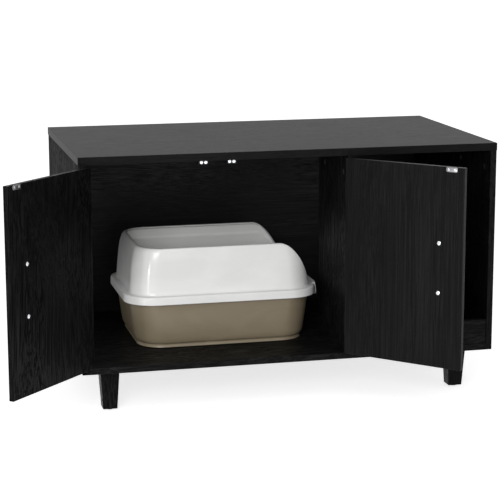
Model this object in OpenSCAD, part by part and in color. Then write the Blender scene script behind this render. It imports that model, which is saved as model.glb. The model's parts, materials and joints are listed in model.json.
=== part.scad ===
// Pet crate end table: a low black board cabinet on four tapered legs. A wide bay behind
// two hinged doors holds a litter tray with a spray guard. A narrow open bay beside it is
// the pet's way in, over a threshold and then round behind the short divider.
// Millimetres, +Z up. The origin is on the floor, at the centre of the top board's outline;
// the front looks towards -Y. Both doors stand open.

/* [Top board] */
// Width of the top board, side to side
top_w = 1000; // [940:10:1100]
// Depth of the top board, front to back
top_d = 560; // [520:10:680]
// Thickness of the top board
top_t = 18; // [15:1:25]
// How far the top board stands out past each side board
top_overhang = 1; // [0:0.5:10]

/* [Carcass boards] */
// Height of the side boards, from their lower edge to the underside of the top board
side_h = 487; // [460:1:600]
// Thickness of the side, bottom, divider and threshold boards
board_t = 15; // [15:0.5:19]
// Thickness of the hardboard back
back_t = 3; // [2.5:0.5:6]
// How far the hardboard back stays inside the carcass outline
back_margin = 2; // [0:0.5:5]
// Clear width of the bay behind the doors
door_bay_w = 616; // [600:1:660]

/* [Pet way in] */
// Height of the threshold board above the bottom board
threshold_h = 60; // [40:1:90]
// How far the threshold board sits behind the front edges
threshold_setback = 2; // [0:0.5:8]
// Depth of the divider, back from the front edges; the pet passes behind it
divider_d = 250; // [220:5:300]

/* [Doors] */
// Thickness of each door
door_t = 12; // [12:0.5:16]
// Gap at each door's hinge edge
door_hinge_gap = 3; // [2.8:0.1:4]
// Gap between the two closed doors
door_meeting_gap = 3; // [2:0.1:5]
// Gap above and below each door
door_end_gap = 3; // [1:0.1:4]
// Angle that the left door stands open, from closed
left_door_open = 133; // [90:1:170]
// Angle that the right door stands open, from closed
right_door_open = 134; // [90:1:170]

/* [Hinges] */
// Length of each hinge along its pin
hinge_h = 50; // [40:1:70]
// Distance from the door's end to the near end of the hinge
hinge_inset = 45; // [30:1:90]
// Depth of each leaf on its board
hinge_leaf_w = 10; // [9:0.5:11]
// Thickness of each leaf
hinge_leaf_t = 1.2; // [1:0.1:1.3]
// Outside diameter of the knuckles
knuckle_d = 5; // [4.6:0.1:5.4]
// Diameter of the hinge pin
hinge_pin_d = 2.4; // [2:0.1:2.8]
// Gap between the knuckles, and from the knuckles to the board edges
knuckle_gap = 0.3; // [0.2:0.05:0.5]
// Diameter of the hinge screws
hinge_screw_d = 3; // [2.5:0.1:3.5]
// Length of the hinge screws
hinge_screw_l = 12; // [10:0.5:12.5]
// Distance between the two screws of a leaf
hinge_screw_pitch = 34; // [28:1:36]

/* [Door pulls] */
// Distance between the two screws of a pull
pull_pitch = 115; // [96:1:160]
// Length of the pull's bar
pull_bar_l = 145; // [130:1:200]
// Diameter of the pull's bar
pull_bar_d = 10; // [8:0.5:14]
// Diameter of the pull's posts
pull_post_d = 8; // [6:0.5:8]
// Clear reach between the door's face and the bar
pull_reach = 22; // [18:1:30]
// Distance from the door's free edge to the pull
pull_from_edge = 60; // [30:1:100]
// Diameter of the pull's screws
pull_screw_d = 4; // [3:0.5:4.5]
// Diameter of the pull's screw heads
pull_head_d = 9.5; // [8:0.5:11]
// Height of the pull's screw heads
pull_head_h = 2.4; // [1.5:0.1:3]
// How deep the pull's screws go into the posts
pull_screw_bite = 8; // [6:0.5:12]

/* [Magnetic catches] */
// Width of each catch
catch_w = 24; // [22:1:30]
// Depth of each catch
catch_d = 14; // [12:0.5:20]
// Height of each catch
catch_h = 10; // [9.5:0.5:14]
// Distance from the doors' meeting line to each catch
catch_from_middle = 33; // [22:1:50]
// Diameter of the magnets
magnet_d = 8; // [6:0.5:8]
// Thickness of the magnets
magnet_t = 4; // [3:0.5:5]
// Distance between the two magnets of a catch
magnet_pitch = 10; // [9:0.5:13]
// Width of the strike plate on the door
strike_w = 28; // [26:1:34]
// Height of the strike plate
strike_h = 11; // [10:0.5:14]
// Thickness of the strike plate
strike_t = 1; // [0.8:0.1:1.5]
// Distance between the two screws of a strike plate
strike_screw_pitch = 16; // [12:1:18]
// Diameter of the catch and strike screws
small_screw_d = 3; // [2.5:0.1:3.5]
// Length of the strike screws
strike_screw_l = 10; // [8:0.5:12]
// How deep the catch screws go into the top board
catch_screw_bite = 10; // [8:0.5:12]

/* [Legs] */
// Height of the cabinet's underside above the floor
leg_h = 104; // [80:1:160]
// Width of the leg's square top
leg_top_w = 46; // [38:1:60]
// Width of the leg's square foot
leg_foot_w = 34; // [26:1:37]
// Distance from the top board's end to the leg's outer face
leg_inset = 49; // [40:1:90]
// Distance from the front or back edges to the leg
leg_setback = 50; // [30:1:80]
// Diameter of the floor glides
glide_d = 22; // [18:0.5:25]
// Thickness of the floor glides
glide_t = 3; // [2:0.5:5]
// Diameter of the glide's nail
glide_nail_d = 2.5; // [2:0.1:3]
// Length of the glide's nail in the leg
glide_nail_l = 15; // [10:1:20]
// Diameter of the leg bolt
leg_bolt_d = 8; // [6:0.5:8]
// How deep the leg bolt goes into the leg
leg_bolt_bite = 28; // [20:1:40]
// Outside diameter of the threaded insert for the leg bolt
insert_d = 12; // [10:0.5:14]
// Length of the threaded insert
insert_l = 12; // [9:0.5:12.5]

/* [Knock-down fittings] */
// Diameter of the cam discs
cam_d = 15; // [12:0.5:16]
// Thickness of the cam discs
cam_t = 11; // [9:0.5:12]
// Distance from the board's joined end to the cam's centre
cam_from_end = 43; // [30:1:50]
// Distance from the front edges to the first cam under the top board
cam_first = 40; // [30:1:60]
// Distance from the divider's rear edge to its second cam
divider_cam_from_rear = 51; // [30:1:60]
// Number of cams along each side board
cam_count = 4; // [3:1:5]
// Distance between the cams in the bottom board
bottom_cam_pitch = 150; // [100:5:160]
// Number of cams at each end of the bottom board
bottom_cam_count = 3; // [2:1:3]
// Diameter of the cam bolts
cam_bolt_d = 6; // [5:0.5:7]
// How deep the cam bolt screws into the next board
cam_bolt_bite = 11; // [9:0.5:12]
// Diameter of the wooden dowels
dowel_d = 8; // [6:0.5:8]
// Length of the wooden dowels
dowel_l = 30; // [25:1:35]
// How much of each dowel sits in the cross-drilled board
dowel_bite = 10; // [8:0.5:12]
// Diameter of the long screws under the divider and threshold
long_screw_d = 5; // [4:0.5:6]
// Length of the long screws
long_screw_l = 50; // [40:1:60]
// Distance between the long screws under the divider
long_screw_pitch = 150; // [100:5:180]
// Distance from the threshold's ends to its long screws
threshold_screw_inset = 60; // [40:5:100]
// Diameter of the back's nails
nail_d = 1.6; // [1.2:0.1:2]
// Length of the back's nails
nail_l = 18; // [14:1:25]
// Diameter of the back's nail heads
nail_head_d = 4; // [3:0.5:5]

/* [Litter tray] */
// Width of the tray at its foot
tray_foot_w = 416; // [380:1:430]
// Depth of the tray at its foot
tray_foot_d = 303; // [270:1:312]
// How far the tray's lip stands out
tray_lip = 8; // [6:0.5:10]
// Height of the tray
tray_h = 127; // [115:1:150]
// Wall thickness of the tray and the guard
tray_wall = 2.8; // [2:0.1:3.5]
// Corner radius of the tray
tray_corner_r = 62; // [50:1:75]
// Distance from the front edges to the middle of the tray
tray_from_front = 291; // [288:1:308]
// Clear gap between the guard's finger flap and the divider
tray_gap = 15; // [8:1:40]

/* [Spray guard] */
// Width of the guard's skirt
guard_skirt_w = 474; // [466:1:480]
// Depth of the guard's skirt
guard_skirt_d = 338; // [334:1:342]
// Height of the skirt
guard_skirt_h = 20; // [14:1:30]
// Width of the guard at its top
guard_top_w = 404; // [380:1:420]
// Depth of the guard at its top
guard_top_d = 294; // [270:1:300]
// Height of the guard above its flange
guard_wall_h = 113; // [90:1:120]
// Width of the flange in front of the guard's wall and behind it
guard_flange_w = 11; // [8:0.5:14]
// Width of the flange at the guard's two ends
guard_end_flange_w = 15; // [11:0.5:17]
// Height of the low way in at the guard's right end, above its flange
guard_entry_h = 4; // [3:1:40]
// Distance from the guard's right end to where its front shoulder starts to fall
guard_shoulder_run = 85; // [50:1:110]
// Width of the finger flap at the guard's right end
guard_flap_w = 190; // [110:1:192]
// How far the flap stands out
guard_flap_out = 14; // [10:1:20]
// Height of the flap, down from the flange
guard_flap_h = 36; // [24:1:50]

/* [Clearances] */
// Radial clearance of fittings in their drilled holes
drill_fit = 0.05; // [0.02:0.01:0.1]
// Radial clearance of the hinge pin in the door's knuckle
pin_fit = 0.05; // [0.03:0.01:0.1]
// Clearance between parts that rest on or close against each other
rest_fit = 0.3; // [0.2:0.05:0.5]
// Clearance of the tray's lip inside the guard's skirt
skirt_fit = 1.5; // [1:0.1:2]

/* [Hidden] */
$fn = 48;
CORNER_FN = 32;
JOIN = 0.01;
DEEP = 1;
LEAN_POWER = 4;
LEAN_SLOPE = 0.4;
LEAN_BANDS = 3;
SHOULDER_POWER = 1.65;
CAM_SLOT_SHARE = 0.7;
HEAD_SHARE = 1.9;
BOARD_BLACK = [0.10, 0.10, 0.105];
ZINC = [0.75, 0.76, 0.78];
GUARD_WHITE = [0.92, 0.92, 0.91];
TRAY_TAUPE = [0.50, 0.46, 0.38];

carcass_w = top_w - 2 * top_overhang;
front_y = -top_d / 2;
back_y = top_d / 2;
board_back_y = back_y - back_t;
board_d = board_back_y - front_y;
under_z = leg_h;
floor_z = under_z + board_t;
lid_z = under_z + side_h;
left_x = -carcass_w / 2 + board_t;
right_x = carcass_w / 2 - board_t;
divider_x = left_x + door_bay_w;
entry_x = divider_x + board_t;
entry_w = right_x - entry_x;
middle_x = (left_x + divider_x) / 2;

door_w = (door_bay_w - 2 * door_hinge_gap - door_meeting_gap) / 2;
door_z = floor_z + door_end_gap;
door_h = lid_z - door_z - door_end_gap;
knuckle_r = knuckle_d / 2;
axis_out = knuckle_r + knuckle_gap;
axis_side = door_hinge_gap / 2;
hinge_zs = [door_z + hinge_inset, door_z + door_h - hinge_inset - hinge_h];
knuckle_h = (hinge_h - 2 * knuckle_gap) / 3;
pull_x = axis_side + door_w - pull_from_edge;
pull_z = door_z + door_h / 2;
strike_x = axis_side + door_w + door_meeting_gap / 2 - catch_from_middle;
strike_z = door_z + door_h - strike_h / 2;
catch_y = front_y + door_t + strike_t + rest_fit;
catch_screw_l = catch_h + catch_screw_bite;

hinge_screw_y = axis_out + hinge_leaf_w / 2;

leg_x = top_w / 2 - leg_inset - leg_top_w / 2;
leg_y = top_d / 2 - leg_setback - leg_top_w / 2;
leg_taper_h = leg_h - glide_t;

cam_drill_d = cam_t + rest_fit;
cam_pitch = (board_d - 2 * cam_first) / (cam_count - 1);
cam_ys = [for (i = [0 : cam_count - 1]) front_y + cam_first + i * cam_pitch];
dowel_ys = [cam_ys[0] + cam_pitch / 2, cam_ys[cam_count - 1] - cam_pitch / 2];
bottom_cam_ys = [for (i = [0 : bottom_cam_count - 1])
    (i - (bottom_cam_count - 1) / 2) * bottom_cam_pitch];
bottom_dowel_ys = [-bottom_cam_pitch / 2, bottom_cam_pitch / 2];
divider_cam_ys = [front_y + cam_first, front_y + divider_d - divider_cam_from_rear];
divider_dowel_ys = [(divider_cam_ys[0] + divider_cam_ys[1]) / 2];
long_screw_ys = [for (s = [-1, 1]) front_y + (divider_d + s * long_screw_pitch) / 2];
threshold_y = front_y + threshold_setback;
threshold_xs = [entry_x + threshold_screw_inset, right_x - threshold_screw_inset];
nail_zs = [for (k = [1 : 4]) under_z + side_h * k / 5];
nail_xs = [for (k = [1 : 5]) -carcass_w / 2 + carcass_w * k / 6];

tray_x = divider_x - tray_gap - guard_flap_out - guard_skirt_w / 2;
tray_y = front_y + tray_from_front;
lip_w = guard_skirt_w - 2 * tray_wall - 2 * skirt_fit;
lip_d = guard_skirt_d - 2 * tray_wall - 2 * skirt_fit;
tray_top_w = lip_w - 2 * tray_lip;
tray_top_d = lip_d - 2 * tray_lip;
flange_z = tray_h + rest_fit;
guard_foot_w = guard_skirt_w - 2 * guard_end_flange_w;
guard_foot_d = guard_skirt_d - 2 * guard_flange_w;

// A box from its low corner
module box(corner, size) {
    translate(corner) cube(size);
}

// A flat rounded rectangle, centred
module rounded(w, d, r) {
    square([w - 2 * r, d], center = true);
    square([w, d - 2 * r], center = true);
    for (sx = [-1, 1], sy = [-1, 1])
        translate([sx * (w / 2 - r), sy * (d / 2 - r)]) circle(r = r);
}

// A solid that changes evenly from one rounded rectangle to another
module tapered(foot_w, foot_d, foot_r, head_w, head_d, head_r, low, high) {
    hull($fn = CORNER_FN) {
        translate([0, 0, low]) linear_extrude(JOIN) rounded(foot_w, foot_d, foot_r);
        translate([0, 0, high - JOIN]) linear_extrude(JOIN) rounded(head_w, head_d, head_r);
    }
}

// A countersunk screw pointing down from the origin; grow widens it into its hole
module screw_blank(d, l, grow = 0) {
    head_d = d * HEAD_SHARE;
    head_h = (head_d - d) / 2;
    translate([0, 0, -head_h]) cylinder(d1 = d + 2 * grow, d2 = head_d + 2 * grow, h = head_h);
    translate([0, 0, -l - grow]) cylinder(d = d + 2 * grow, h = l + grow - head_h + JOIN);
    translate([0, 0, -JOIN]) cylinder(d = head_d + 2 * grow, h = grow + JOIN);
}

// A cross slot in a screw head of the given width, cut down from the origin
module cross_slot(head_d) {
    slot_w = head_d / 6;
    slot_d = head_d / 7;
    for (a = [0, 90])
        rotate([0, 0, a]) translate([-head_d / 3, -slot_w / 2, -slot_d])
            cube([head_d * 2 / 3, slot_w, slot_d + DEEP]);
}

module screw(d, l) {
    difference() {
        intersection() {
            screw_blank(d, l);
            translate([0, 0, -l]) cylinder(d = d * HEAD_SHARE, h = l);
        }
        cross_slot(d * HEAD_SHARE);
    }
}

// Places that repeat

// The three uprights' cam faces: [face x, direction that the face looks along X, where the
// cams sit along Y, where the dowels sit along Y]
upright_faces = [
    [left_x, 1, cam_ys, dowel_ys],
    [divider_x, -1, divider_cam_ys, divider_dowel_ys],
    [right_x, -1, cam_ys, dowel_ys]
];

module at_top_cams() {
    for (f = upright_faces, y = f[2])
        translate([f[0], y, lid_z - cam_from_end])
            rotate([0, 90, f[1] > 0 ? 0 : 180]) children();
}

module at_top_bolts() {
    for (f = upright_faces, y = f[2])
        translate([f[0] - f[1] * board_t / 2, y, lid_z]) children();
}

module at_top_dowels() {
    for (f = upright_faces, y = f[3])
        translate([f[0] - f[1] * board_t / 2, y, lid_z]) children();
}

module at_bottom_cams() {
    for (sx = [-1, 1], y = bottom_cam_ys)
        translate([sx * (right_x - cam_from_end), y, under_z])
            rotate([180, 0, sx > 0 ? 180 : 0]) children();
}

// At each end of the bottom board, looking out through the side board
module at_bottom_ends(ys) {
    for (sx = [-1, 1], y = ys)
        translate([sx * right_x, y, under_z + board_t / 2]) rotate([0, sx * 90, 0]) children();
}

module at_long_screws() {
    for (y = long_screw_ys)
        translate([divider_x + board_t / 2, y, under_z]) rotate([180, 0, 0]) children();
    for (x = threshold_xs)
        translate([x, threshold_y + board_t / 2, under_z]) rotate([180, 0, 0]) children();
}

module at_back_nails() {
    for (sx = [-1, 1], z = nail_zs)
        translate([sx * (right_x + board_t / 2), back_y, z]) rotate([-90, 0, 0]) children();
    for (x = nail_xs)
        translate([x, back_y, under_z + board_t / 2]) rotate([-90, 0, 0]) children();
}

module at_legs() {
    for (sx = [-1, 1], sy = [-1, 1])
        translate([sx * leg_x, sy * leg_y, 0]) children();
}

module at_catches() {
    for (sx = [-1, 1])
        translate([middle_x + sx * catch_from_middle, catch_y, lid_z]) children();
}

module at_magnets() {
    for (sx = [-1, 1])
        translate([sx * magnet_pitch / 2, 0, -catch_h / 2]) rotate([-90, 0, 0]) children();
}

// The frame of a door: origin on the hinge pin, x along the closed door, y into the cabinet
module left_frame() {
    translate([left_x + axis_side, front_y - axis_out, 0]) children();
}

module right_frame() {
    translate([divider_x - axis_side, front_y - axis_out, 0]) mirror([1, 0, 0]) children();
}

module left_swing() {
    left_frame() rotate([0, 0, -left_door_open]) children();
}

module right_swing() {
    right_frame() rotate([0, 0, -right_door_open]) children();
}

module at_hinge_screws() {
    for (z = hinge_zs, s = [-1, 1])
        translate([0, hinge_screw_y, z + hinge_h / 2 + s * hinge_screw_pitch / 2]) children();
}

module at_pull_screws() {
    for (s = [-1, 1])
        translate([pull_x, axis_out + door_t, pull_z + s * pull_pitch / 2])
            rotate([-90, 0, 0]) children();
}

module at_strike_screws() {
    for (s = [-1, 1])
        translate([strike_x + s * strike_screw_pitch / 2, axis_out + door_t + strike_t, strike_z])
            rotate([-90, 0, 0]) children();
}

// Fittings

// A cam bolt: from inside the cam, across the joint at z = 0 and into the next board
module cam_bolt_blank(grow = 0) {
    reach = cam_from_end - cam_d / 2 + cam_bolt_d;
    translate([0, 0, -reach])
        cylinder(d = cam_bolt_d + 2 * grow, h = reach + cam_bolt_bite + grow);
}

// A cam disc, sunk from its board's face at z = 0, with its bolt's hole looking along -X
module cam() {
    difference() {
        translate([0, 0, -cam_t]) cylinder(d = cam_d, h = cam_t);
        cross_slot(cam_d * CAM_SLOT_SHARE);
        translate([-cam_d / 2 + cam_bolt_d + drill_fit, 0, -board_t / 2]) rotate([0, -90, 0])
            cylinder(d = cam_bolt_d + 2 * drill_fit, h = cam_d);
    }
}

// The disc's own hole, sunk from the board's face
module cam_drill() {
    translate([0, 0, -cam_drill_d]) cylinder(d = cam_d + 2 * drill_fit, h = cam_drill_d + DEEP);
}

module dowel_blank(grow = 0) {
    translate([0, 0, -dowel_l + dowel_bite - grow])
        cylinder(d = dowel_d + 2 * grow, h = dowel_l + 2 * grow);
}

module nail_blank(grow = 0) {
    translate([0, 0, -nail_l - grow]) cylinder(d = nail_d + 2 * grow, h = nail_l + 2 * grow);
    translate([0, 0, -nail_d / 2 - grow])
        cylinder(d = nail_head_d + 2 * grow, h = nail_d / 2 + 2 * grow);
}

module insert_blank(grow = 0) {
    translate([0, 0, under_z - grow]) cylinder(d = insert_d + 2 * grow, h = insert_l + 2 * grow);
}

module leg_bolt_blank(grow = 0) {
    translate([0, 0, under_z - leg_bolt_bite - grow])
        cylinder(d = leg_bolt_d + 2 * grow, h = leg_bolt_bite + insert_l - DEEP + 2 * grow);
}

// Carcass

module top_board() {
    color(BOARD_BLACK) difference() {
        box([-top_w / 2, front_y, lid_z], [top_w, top_d, top_t]);
        at_top_bolts() cam_bolt_blank(drill_fit);
        at_top_dowels() dowel_blank(drill_fit);
        at_catches() catch_screw_place() screw_blank(small_screw_d, catch_screw_l, drill_fit);
    }
}

module side_board(sx) {
    color(BOARD_BLACK) difference() {
        box([sx > 0 ? right_x : left_x - board_t, front_y, under_z], [board_t, board_d, side_h]);
        at_top_cams() cam_drill();
        at_top_bolts() cam_bolt_blank(drill_fit);
        at_top_dowels() dowel_blank(drill_fit);
        at_bottom_ends(bottom_cam_ys) cam_bolt_blank(drill_fit);
        at_bottom_ends(bottom_dowel_ys) dowel_blank(drill_fit);
        at_back_nails() nail_blank(drill_fit);
        left_frame() at_frame_leaf_screws() screw_blank(hinge_screw_d, hinge_screw_l, drill_fit);
    }
}

module left_side_board() {
    side_board(-1);
}

module right_side_board() {
    side_board(1);
}

module bottom_board() {
    color(BOARD_BLACK) difference() {
        box([left_x, front_y, under_z], [right_x - left_x, board_d, board_t]);
        at_bottom_cams() cam_drill();
        at_bottom_ends(bottom_cam_ys) cam_bolt_blank(drill_fit);
        at_bottom_ends(bottom_dowel_ys) dowel_blank(drill_fit);
        at_long_screws() screw_blank(long_screw_d, long_screw_l, drill_fit);
        at_back_nails() nail_blank(drill_fit);
        at_legs() insert_blank(drill_fit);
        at_legs() leg_bolt_blank(drill_fit);
    }
}

module back_board() {
    color(BOARD_BLACK) difference() {
        box([-carcass_w / 2 + back_margin, board_back_y, under_z + back_margin],
            [carcass_w - 2 * back_margin, back_t, side_h - back_margin]);
        at_back_nails() nail_blank(drill_fit);
    }
}

module divider_board() {
    color(BOARD_BLACK) difference() {
        box([divider_x, front_y, floor_z], [board_t, divider_d, lid_z - floor_z]);
        at_top_cams() cam_drill();
        at_top_bolts() cam_bolt_blank(drill_fit);
        at_top_dowels() dowel_blank(drill_fit);
        at_long_screws() screw_blank(long_screw_d, long_screw_l, drill_fit);
        right_frame() at_frame_leaf_screws() screw_blank(hinge_screw_d, hinge_screw_l, drill_fit);
    }
}

module threshold_board() {
    color(BOARD_BLACK) difference() {
        box([entry_x, threshold_y, floor_z], [entry_w, board_t, threshold_h]);
        at_long_screws() screw_blank(long_screw_d, long_screw_l, drill_fit);
    }
}

// Legs

// A slab whose sides lean in from the top width to the foot width
module leg_profile() {
    rotate([90, 0, 0]) linear_extrude(leg_top_w, center = true) polygon([
        [-leg_foot_w / 2, glide_t],
        [leg_foot_w / 2, glide_t],
        [leg_top_w / 2, leg_h],
        [-leg_top_w / 2, leg_h]
    ]);
}

module leg(sx, sy) {
    color(BOARD_BLACK) translate([sx * leg_x, sy * leg_y, 0]) difference() {
        intersection() {
            leg_profile();
            rotate([0, 0, 90]) leg_profile();
        }
        leg_bolt_blank(drill_fit);
        glide_blank(drill_fit);
    }
}

module front_left_leg() {
    leg(-1, -1);
}

module front_right_leg() {
    leg(1, -1);
}

module rear_left_leg() {
    leg(-1, 1);
}

module rear_right_leg() {
    leg(1, 1);
}

module leg_bolts() {
    color(ZINC) at_legs() leg_bolt_blank();
}

module leg_inserts() {
    color(ZINC) at_legs() difference() {
        insert_blank();
        leg_bolt_blank(drill_fit);
    }
}

module glide_blank(grow = 0) {
    cylinder(d = glide_nail_d + 2 * grow, h = glide_t + glide_nail_l + grow);
}

module floor_glides() {
    color([0.2, 0.2, 0.2]) at_legs() {
        cylinder(d = glide_d, h = glide_t);
        glide_blank();
    }
}

// Knock-down fittings

module top_cams() {
    color(ZINC) at_top_cams() cam();
}

module top_cam_bolts() {
    color(ZINC) at_top_bolts() cam_bolt_blank();
}

module bottom_cams() {
    color(ZINC) at_bottom_cams() cam();
}

module bottom_cam_bolts() {
    color(ZINC) at_bottom_ends(bottom_cam_ys) cam_bolt_blank();
}

module dowels() {
    color("burlywood") {
        at_top_dowels() dowel_blank();
        at_bottom_ends(bottom_dowel_ys) dowel_blank();
    }
}

module long_screws() {
    color(ZINC) at_long_screws() screw(long_screw_d, long_screw_l);
}

module back_nails() {
    color(ZINC) at_back_nails() nail_blank();
}

// Catches

module catch_screw_place() {
    translate([0, catch_d - small_screw_d * HEAD_SHARE / 2 - DEEP, -catch_h])
        rotate([180, 0, 0]) children();
}

module catch_bodies() {
    color(ZINC) at_catches() difference() {
        box([-catch_w / 2, 0, -catch_h], [catch_w, catch_d, catch_h]);
        at_magnets() translate([0, 0, -DEEP])
            cylinder(d = magnet_d + 2 * drill_fit, h = magnet_t + DEEP + drill_fit);
        catch_screw_place() screw_blank(small_screw_d, catch_screw_l, drill_fit);
    }
}

module catch_magnets() {
    color("silver") at_catches() at_magnets() cylinder(d = magnet_d, h = magnet_t);
}

module catch_screws() {
    color(ZINC) at_catches() catch_screw_place() screw(small_screw_d, catch_screw_l);
}

// Hinges, drawn in the door's frame

module at_frame_leaf_screws() {
    at_hinge_screws() translate([-axis_side + hinge_leaf_t, 0, 0]) rotate([0, 90, 0]) children();
}

module at_door_leaf_screws() {
    at_hinge_screws() translate([axis_side - hinge_leaf_t, 0, 0]) rotate([0, -90, 0]) children();
}

// One leaf: a plate with knuckles at the given thirds of its length
module hinge_leaf(x, thirds, bore_fit) {
    for (z = hinge_zs) translate([0, 0, z]) difference() {
        union() {
            box([x, axis_out, 0], [hinge_leaf_t, hinge_leaf_w, hinge_h]);
            for (k = thirds) translate([0, 0, k * (knuckle_h + knuckle_gap)]) {
                cylinder(r = knuckle_r, h = knuckle_h);
                box([x, 0, 0], [hinge_leaf_t, axis_out + JOIN, knuckle_h]);
            }
        }
        translate([0, 0, -DEEP])
            cylinder(d = hinge_pin_d + 2 * bore_fit, h = hinge_h + 2 * DEEP);
    }
}

module frame_leaves() {
    color(ZINC) difference() {
        hinge_leaf(-axis_side, [0, 2], drill_fit);
        at_frame_leaf_screws() screw_blank(hinge_screw_d, hinge_screw_l, drill_fit);
    }
}

module door_leaves() {
    color(ZINC) difference() {
        hinge_leaf(axis_side - hinge_leaf_t, [1], pin_fit);
        at_door_leaf_screws() screw_blank(hinge_screw_d, hinge_screw_l, drill_fit);
    }
}

module left_hinge_frame_leaves() {
    left_frame() frame_leaves();
}

module right_hinge_frame_leaves() {
    right_frame() frame_leaves();
}

module pins() {
    for (z = hinge_zs) translate([0, 0, z]) cylinder(d = hinge_pin_d, h = hinge_h);
}

module hinge_pins() {
    color(ZINC) {
        left_frame() pins();
        right_frame() pins();
    }
}

module hinge_frame_screws() {
    color(ZINC) {
        left_frame() at_frame_leaf_screws() screw(hinge_screw_d, hinge_screw_l);
        right_frame() at_frame_leaf_screws() screw(hinge_screw_d, hinge_screw_l);
    }
}

// Doors, drawn in the door's frame

module door_panel() {
    color(BOARD_BLACK) difference() {
        box([axis_side, axis_out, door_z], [door_w, door_t, door_h]);
        at_door_leaf_screws() screw_blank(hinge_screw_d, hinge_screw_l, drill_fit);
        at_pull_screws() translate([0, 0, -door_t - DEEP])
            cylinder(d = pull_screw_d + 2 * drill_fit, h = door_t + 2 * DEEP);
        at_strike_screws() screw_blank(small_screw_d, strike_screw_l, drill_fit);
    }
}

module door_pull() {
    bar_y = axis_out - pull_reach - pull_bar_d / 2;
    color([0.13, 0.13, 0.135]) difference() {
        union() {
            translate([pull_x, bar_y, pull_z - pull_bar_l / 2])
                cylinder(d = pull_bar_d, h = pull_bar_l);
            at_pull_screws() translate([0, 0, -door_t - pull_reach - pull_bar_d / 2])
                cylinder(d = pull_post_d, h = pull_reach + pull_bar_d / 2);
        }
        at_pull_screws() translate([0, 0, -door_t - pull_screw_bite - drill_fit])
            cylinder(d = pull_screw_d + 2 * drill_fit, h = pull_screw_bite + DEEP);
    }
}

module pull_screws() {
    color(ZINC) at_pull_screws() difference() {
        union() {
            cylinder(d = pull_head_d, h = pull_head_h);
            translate([0, 0, -door_t - pull_screw_bite])
                cylinder(d = pull_screw_d, h = door_t + pull_screw_bite + JOIN);
        }
        translate([0, 0, pull_head_h]) cross_slot(pull_head_d);
    }
}

module strike_plate() {
    color(ZINC) difference() {
        box([strike_x - strike_w / 2, axis_out + door_t, strike_z - strike_h / 2],
            [strike_w, strike_t, strike_h]);
        at_strike_screws() screw_blank(small_screw_d, strike_screw_l, drill_fit);
    }
}

module strike_screws() {
    color(ZINC) at_strike_screws() screw(small_screw_d, strike_screw_l);
}

module left_door() {
    left_swing() door_panel();
}

module left_hinge_door_leaves() {
    left_swing() door_leaves();
}

module left_hinge_door_screws() {
    color(ZINC) left_swing() at_door_leaf_screws() screw(hinge_screw_d, hinge_screw_l);
}

module left_pull() {
    left_swing() door_pull();
}

module left_pull_screws() {
    left_swing() pull_screws();
}

module left_strike() {
    left_swing() strike_plate();
}

module left_strike_screws() {
    left_swing() strike_screws();
}

module right_door() {
    right_swing() door_panel();
}

module right_hinge_door_leaves() {
    right_swing() door_leaves();
}

module right_hinge_door_screws() {
    color(ZINC) right_swing() at_door_leaf_screws() screw(hinge_screw_d, hinge_screw_l);
}

module right_pull() {
    right_swing() door_pull();
}

module right_pull_screws() {
    right_swing() pull_screws();
}

module right_strike() {
    right_swing() strike_plate();
}

module right_strike_screws() {
    right_swing() strike_screws();
}

// Litter tray and its guard, drawn with the tray's foot at z = 0

module at_tray() {
    translate([tray_x, tray_y, floor_z + rest_fit]) children();
}

// A flat ring between two rounded rectangles of one centre
module ring(outer_w, outer_d, outer_r, width, low, high) {
    translate([0, 0, low]) linear_extrude(high - low) difference() {
        rounded(outer_w, outer_d, outer_r);
        rounded(outer_w - 2 * width, outer_d - 2 * width, outer_r - width);
    }
}

module litter_tray() {
    inner_r = tray_corner_r - tray_wall;
    color(TRAY_TAUPE) at_tray() {
        difference() {
            tapered(tray_foot_w, tray_foot_d, tray_corner_r,
                tray_top_w, tray_top_d, tray_corner_r, 0, tray_h);
            tapered(tray_foot_w - 2 * tray_wall, tray_foot_d - 2 * tray_wall, inner_r,
                tray_top_w - 2 * tray_wall, tray_top_d - 2 * tray_wall, inner_r,
                tray_wall, tray_h + JOIN);
        }
        ring(lip_w, lip_d, tray_corner_r + tray_lip, tray_lip + tray_wall,
            tray_h - tray_wall, tray_h);
    }
}

// The guard's side view: full height, with a rounded shoulder that falls to the way in
module guard_outline() {
    right = guard_foot_w / 2;
    top = flange_z + tray_wall + guard_wall_h;
    low = flange_z + tray_wall + guard_entry_h;
    run = guard_shoulder_run - tray_wall;
    shoulder = [for (a = [0 : 10 : 90])
        [right - tray_wall - run * (1 - sin(a)), low + (top - low) * pow(cos(a), SHOULDER_POWER)]];
    rotate([90, 0, 0]) linear_extrude(guard_skirt_d, center = true) polygon(concat(
        [[-guard_skirt_w, flange_z - JOIN], [-guard_skirt_w, top]],
        shoulder,
        [[guard_skirt_w, low], [guard_skirt_w, flange_z - JOIN]]
    ));
}

// Share of the wall's whole lean-in that is reached at a share of its height
function lean(share) =
    LEAN_SLOPE * share + (1 - LEAN_SLOPE) * (1 - sqrt(1 - pow(share, LEAN_POWER)));

// The guard's body as a solid, set in all round, in bands that curl in towards the top
module guard_body(inset, low, high) {
    run_w = (guard_foot_w - guard_top_w) / 2;
    run_d = (guard_foot_d - guard_top_d) / 2;
    shares = [for (k = [0 : LEAN_BANDS]) sqrt(k / LEAN_BANDS)];
    radius = tray_corner_r - inset;
    for (k = [1 : LEAN_BANDS]) {
        from = inset + run_w * lean(shares[k - 1]);
        to = inset + run_w * lean(shares[k]);
        from_d = inset + run_d * lean(shares[k - 1]);
        to_d = inset + run_d * lean(shares[k]);
        tapered(guard_foot_w - 2 * from, guard_foot_d - 2 * from_d, radius,
            guard_foot_w - 2 * to, guard_foot_d - 2 * to_d, radius,
            low + (high - low) * shares[k - 1] - (k > 1 ? JOIN : 0),
            low + (high - low) * shares[k]);
    }
}

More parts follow.
